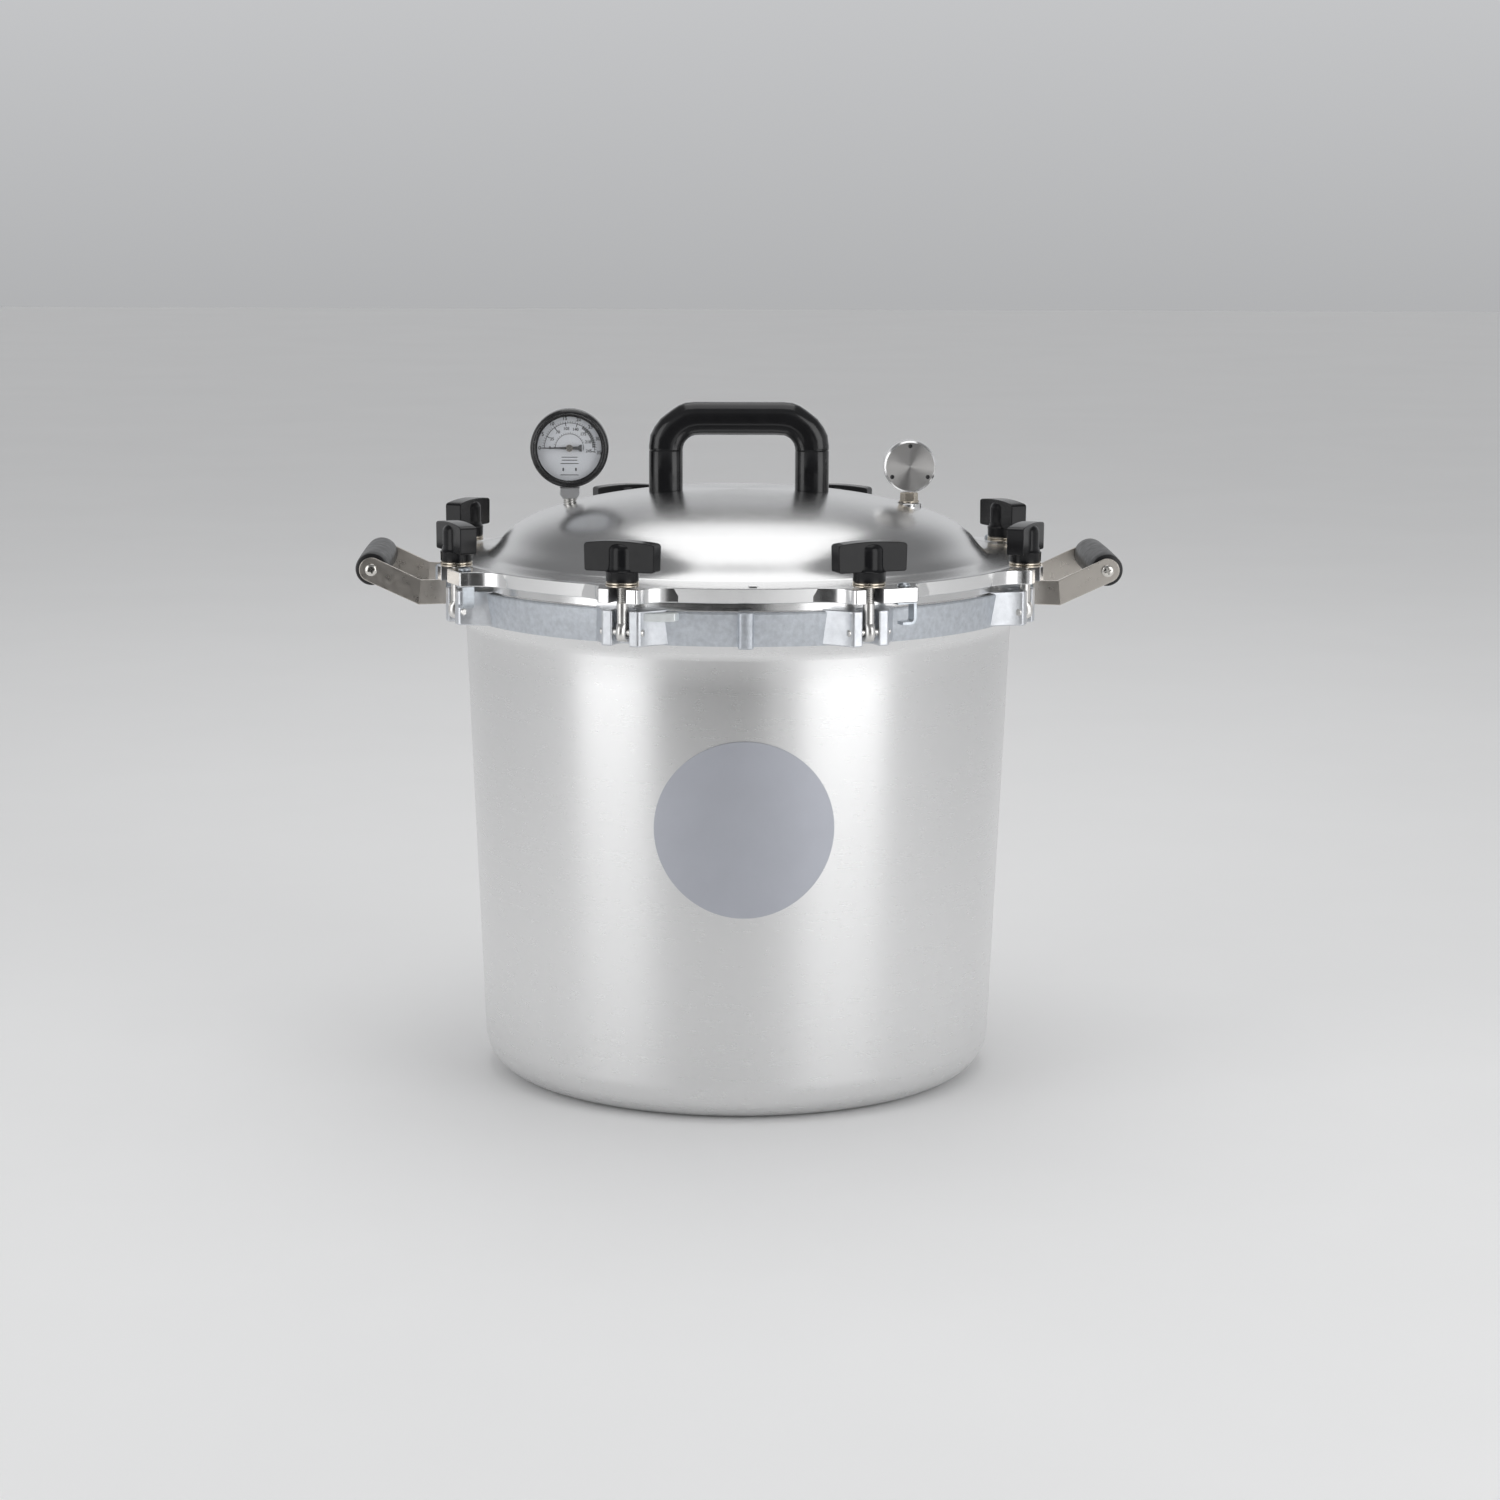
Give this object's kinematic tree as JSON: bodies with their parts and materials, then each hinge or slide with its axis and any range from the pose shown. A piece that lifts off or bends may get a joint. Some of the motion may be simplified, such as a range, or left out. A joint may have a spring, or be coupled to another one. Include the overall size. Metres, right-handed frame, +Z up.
{
  "type": "pressure canner",
  "caption": "Large cast aluminium pressure canner: tapered pot, domed lid held by swing bolts with wing nuts, dial gauge, weighted vent and side grips.",
  "frame": {"origin": "centre of the pot's flat base, on the surface it stands on", "axes": "+Z up, +X towards the right side handle, -Y is the front with the label"},
  "size_m": [0.554, 0.436, 0.4928],
  "materials": {
    "cast_aluminium": "satin, turned on the walls and the dome, rough as cast on the collar, polished on the flange edge",
    "rack_aluminium": "matt rolled sheet",
    "label": "plain grey sticker, satin",
    "phenolic": "black moulded phenolic, glossy",
    "grip": "black moulded phenolic, satin",
    "steel": "plated steel, cut threads",
    "stainless": "satin stainless sheet",
    "zinc": "bright zinc plating, bluish",
    "nut_ring": "machined, dull",
    "gauge_stem": "plated, satin",
    "gauge_case": "black enamel",
    "gauge_dial": "white printed dial",
    "needle": "black enamel",
    "glass": "clear",
    "weight_steel": "face turned",
    "rubber": "black moulded rubber"
  },
  "bodies": {
    "pot": {"pot_body": "cast_aluminium", "label": "label", "bolt_pin_1": "steel", "bolt_pin_2": "steel", "bolt_pin_3": "steel", "bolt_pin_4": "steel", "bolt_pin_5": "steel", "bolt_pin_6": "steel", "bolt_pin_7": "steel", "bolt_pin_8": "steel", "strap_left_front": "stainless", "strap_left_rear": "stainless", "strap_right_front": "stainless", "strap_right_rear": "stainless", "grip_rod_left": "stainless", "grip_rod_right": "stainless"},
    "lid": {"lid": "cast_aluminium", "top_handle": "phenolic", "top_handle_screw_left": "steel", "top_handle_screw_right": "steel", "lid_hook_1": "zinc", "lid_hook_2": "zinc", "lid_hook_3": "zinc", "lid_hook_4": "zinc", "gauge_stem": "gauge_stem", "gauge_case": "gauge_case", "gauge_bezel": "gauge_case", "gauge_dial": "gauge_dial", "gauge_lens": "glass", "vent_pipe": "gauge_stem"},
    "bolt_1": {"swing_bolt_1": "steel"},
    "washer_1": {"nut_washer_1": "nut_ring"},
    "nut_1": {"wing_nut_1": "phenolic"},
    "bolt_2": {"swing_bolt_2": "steel"},
    "washer_2": {"nut_washer_2": "nut_ring"},
    "nut_2": {"wing_nut_2": "phenolic"},
    "bolt_3": {"swing_bolt_3": "steel"},
    "washer_3": {"nut_washer_3": "nut_ring"},
    "nut_3": {"wing_nut_3": "phenolic"},
    "bolt_4": {"swing_bolt_4": "steel"},
    "washer_4": {"nut_washer_4": "nut_ring"},
    "nut_4": {"wing_nut_4": "phenolic"},
    "bolt_5": {"swing_bolt_5": "steel"},
    "washer_5": {"nut_washer_5": "nut_ring"},
    "nut_5": {"wing_nut_5": "phenolic"},
    "bolt_6": {"swing_bolt_6": "steel"},
    "washer_6": {"nut_washer_6": "nut_ring"},
    "nut_6": {"wing_nut_6": "phenolic"},
    "bolt_7": {"swing_bolt_7": "steel"},
    "washer_7": {"nut_washer_7": "nut_ring"},
    "nut_7": {"wing_nut_7": "phenolic"},
    "bolt_8": {"swing_bolt_8": "steel"},
    "washer_8": {"nut_washer_8": "nut_ring"},
    "nut_8": {"wing_nut_8": "phenolic"},
    "needle": {"gauge_needle": "needle"},
    "weight": {"regulator_weight": "weight_steel"},
    "plug": {"overpressure_plug": "rubber"},
    "rack": {"rack": "rack_aluminium"},
    "grip_left": {"side_grip_left": "grip"},
    "grip_right": {"side_grip_right": "grip"}
  },
  "joints": [
    {"name": "lid_lift", "type": "slide", "parent": "pot", "child": "lid", "axis": [0, 0, 1], "range_m": [0, 0.022]},
    {"name": "clamp_1_swing", "type": "hinge", "parent": "pot", "child": "bolt_1", "pos_m": [0.08381, -0.20233, 0.351], "axis": [0.9239, 0.3827, 0], "range_deg": [0, 160]},
    {"name": "nut_1_rise", "type": "slide", "parent": "bolt_1", "child": "washer_1", "axis": [0, 0, 1], "range_m": [0, 0.022]},
    {"name": "nut_1_turn", "type": "hinge", "parent": "washer_1", "child": "nut_1", "pos_m": [0.08381, -0.20233, 0.39], "axis": [0, 0, 1], "range_deg": [0, 5621]},
    {"name": "clamp_2_swing", "type": "hinge", "parent": "pot", "child": "bolt_2", "pos_m": [0.20233, -0.08381, 0.351], "axis": [0.3827, 0.9239, 0], "range_deg": [0, 160]},
    {"name": "nut_2_rise", "type": "slide", "parent": "bolt_2", "child": "washer_2", "axis": [0, 0, 1], "range_m": [0, 0.022]},
    {"name": "nut_2_turn", "type": "hinge", "parent": "washer_2", "child": "nut_2", "pos_m": [0.20233, -0.08381, 0.39], "axis": [0, 0, 1], "range_deg": [0, 5621]},
    {"name": "clamp_3_swing", "type": "hinge", "parent": "pot", "child": "bolt_3", "pos_m": [0.20233, 0.08381, 0.351], "axis": [-0.3827, 0.9239, 0], "range_deg": [0, 160]},
    {"name": "nut_3_rise", "type": "slide", "parent": "bolt_3", "child": "washer_3", "axis": [0, 0, 1], "range_m": [0, 0.022]},
    {"name": "nut_3_turn", "type": "hinge", "parent": "washer_3", "child": "nut_3", "pos_m": [0.20233, 0.08381, 0.39], "axis": [0, 0, 1], "range_deg": [0, 5621]},
    {"name": "clamp_4_swing", "type": "hinge", "parent": "pot", "child": "bolt_4", "pos_m": [0.08381, 0.20233, 0.351], "axis": [-0.9239, 0.3827, 0], "range_deg": [0, 160]},
    {"name": "nut_4_rise", "type": "slide", "parent": "bolt_4", "child": "washer_4", "axis": [0, 0, 1], "range_m": [0, 0.022]},
    {"name": "nut_4_turn", "type": "hinge", "parent": "washer_4", "child": "nut_4", "pos_m": [0.08381, 0.20233, 0.39], "axis": [0, 0, 1], "range_deg": [0, 5621]},
    {"name": "clamp_5_swing", "type": "hinge", "parent": "pot", "child": "bolt_5", "pos_m": [-0.08381, 0.20233, 0.351], "axis": [-0.9239, -0.3827, 0], "range_deg": [0, 160]},
    {"name": "nut_5_rise", "type": "slide", "parent": "bolt_5", "child": "washer_5", "axis": [0, 0, 1], "range_m": [0, 0.022]},
    {"name": "nut_5_turn", "type": "hinge", "parent": "washer_5", "child": "nut_5", "pos_m": [-0.08381, 0.20233, 0.39], "axis": [0, 0, 1], "range_deg": [0, 5621]},
    {"name": "clamp_6_swing", "type": "hinge", "parent": "pot", "child": "bolt_6", "pos_m": [-0.20233, 0.08381, 0.351], "axis": [-0.3827, -0.9239, 0], "range_deg": [0, 160]},
    {"name": "nut_6_rise", "type": "slide", "parent": "bolt_6", "child": "washer_6", "axis": [0, 0, 1], "range_m": [0, 0.022]},
    {"name": "nut_6_turn", "type": "hinge", "parent": "washer_6", "child": "nut_6", "pos_m": [-0.20233, 0.08381, 0.39], "axis": [0, 0, 1], "range_deg": [0, 5621]},
    {"name": "clamp_7_swing", "type": "hinge", "parent": "pot", "child": "bolt_7", "pos_m": [-0.20233, -0.08381, 0.351], "axis": [0.3827, -0.9239, 0], "range_deg": [0, 160]},
    {"name": "nut_7_rise", "type": "slide", "parent": "bolt_7", "child": "washer_7", "axis": [0, 0, 1], "range_m": [0, 0.022]},
    {"name": "nut_7_turn", "type": "hinge", "parent": "washer_7", "child": "nut_7", "pos_m": [-0.20233, -0.08381, 0.39], "axis": [0, 0, 1], "range_deg": [0, 5621]},
    {"name": "clamp_8_swing", "type": "hinge", "parent": "pot", "child": "bolt_8", "pos_m": [-0.08381, -0.20233, 0.351], "axis": [0.9239, -0.3827, 0], "range_deg": [0, 160]},
    {"name": "nut_8_rise", "type": "slide", "parent": "bolt_8", "child": "washer_8", "axis": [0, 0, 1], "range_m": [0, 0.022]},
    {"name": "nut_8_turn", "type": "hinge", "parent": "washer_8", "child": "nut_8", "pos_m": [-0.08381, -0.20233, 0.39], "axis": [0, 0, 1], "range_deg": [0, 5621]},
    {"name": "gauge_needle_turn", "type": "hinge", "parent": "lid", "child": "needle", "pos_m": [-0.1236, -0.009, 0.4595], "axis": [0, 1, 0], "range_deg": [0, 200], "stiffness_Nm_per_rad": 0.0002},
    {"name": "weight_lift", "type": "slide", "parent": "lid", "child": "weight", "axis": [0, 0, 1], "range_m": [0, 0.05]},
    {"name": "overpressure_plug_pop", "type": "slide", "parent": "lid", "child": "plug", "axis": [0, 0, 1], "range_m": [0, 0.015]},
    {"name": "rack_lift", "type": "slide", "parent": "pot", "child": "rack", "axis": [0, 0, 1], "range_m": [0, 0.3]},
    {"name": "grip_left_spin", "type": "hinge", "parent": "pot", "child": "grip_left", "pos_m": [-0.265, 0, 0.3759], "axis": [0, 1, 0], "continuous": true},
    {"name": "grip_right_spin", "type": "hinge", "parent": "pot", "child": "grip_right", "pos_m": [0.265, 0, 0.3759], "axis": [0, 1, 0], "continuous": true}
  ],
  "couplings": [
    {"joint": "nut_1_rise", "follows": "lid_lift", "ratio": 1},
    {"joint": "nut_1_turn", "follows": "lid_lift", "rad_per_m": 4456.2},
    {"joint": "nut_2_rise", "follows": "lid_lift", "ratio": 1},
    {"joint": "nut_2_turn", "follows": "lid_lift", "rad_per_m": 4456.2},
    {"joint": "nut_3_rise", "follows": "lid_lift", "ratio": 1},
    {"joint": "nut_3_turn", "follows": "lid_lift", "rad_per_m": 4456.2},
    {"joint": "nut_4_rise", "follows": "lid_lift", "ratio": 1},
    {"joint": "nut_4_turn", "follows": "lid_lift", "rad_per_m": 4456.2},
    {"joint": "nut_5_rise", "follows": "lid_lift", "ratio": 1},
    {"joint": "nut_5_turn", "follows": "lid_lift", "rad_per_m": 4456.2},
    {"joint": "nut_6_rise", "follows": "lid_lift", "ratio": 1},
    {"joint": "nut_6_turn", "follows": "lid_lift", "rad_per_m": 4456.2},
    {"joint": "nut_7_rise", "follows": "lid_lift", "ratio": 1},
    {"joint": "nut_7_turn", "follows": "lid_lift", "rad_per_m": 4456.2},
    {"joint": "nut_8_rise", "follows": "lid_lift", "ratio": 1},
    {"joint": "nut_8_turn", "follows": "lid_lift", "rad_per_m": 4456.2}
  ]
}
